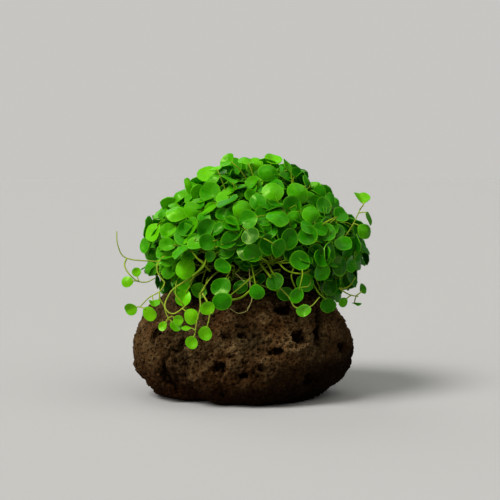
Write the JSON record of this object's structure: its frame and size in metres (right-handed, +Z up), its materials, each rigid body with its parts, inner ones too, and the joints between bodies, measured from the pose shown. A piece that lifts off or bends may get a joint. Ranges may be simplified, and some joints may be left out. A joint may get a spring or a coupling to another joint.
{
  "type": "dichondra on rock",
  "caption": "Dense dome of small round green leaves on thin stems, with trailing runners, rooted on a brown porous lava rock that rests on a flat base.",
  "frame": {"origin": "middle of the stone's flat resting face, on the ground", "axes": "+Z up, -Y towards the viewer of the front, +X to the viewer's right"},
  "size_m": [0.1152, 0.0939, 0.1112],
  "materials": {
    "stone": "matte",
    "root": "matte",
    "leaf": "satin",
    "runner": "satin"
  },
  "bodies": {
    "root": {"lava_rock": "stone", "root_crown": "root", "sprig_01": "leaf", "sprig_02": "leaf", "sprig_03": "leaf", "sprig_04": "leaf", "sprig_05": "leaf", "sprig_06": "leaf", "sprig_07": "leaf", "sprig_08": "leaf", "sprig_09": "leaf", "sprig_10": "leaf", "sprig_11": "leaf", "sprig_12": "leaf", "sprig_13": "leaf", "sprig_14": "leaf", "sprig_15": "leaf", "sprig_16": "leaf", "sprig_17": "leaf", "sprig_18": "leaf", "sprig_19": "leaf", "sprig_20": "leaf", "sprig_21": "leaf", "sprig_22": "leaf", "sprig_23": "leaf", "sprig_24": "leaf", "sprig_25": "leaf", "sprig_26": "leaf", "sprig_27": "leaf", "sprig_28": "leaf", "sprig_29": "leaf", "sprig_30": "leaf", "runner_left": "runner", "runner_front_left": "runner", "runner_loop": "runner", "runner_hanging": "runner", "runner_right_front": "runner", "runner_right": "runner", "runner_upper_right": "runner", "runner_back": "runner"}
  },
  "joints": []
}
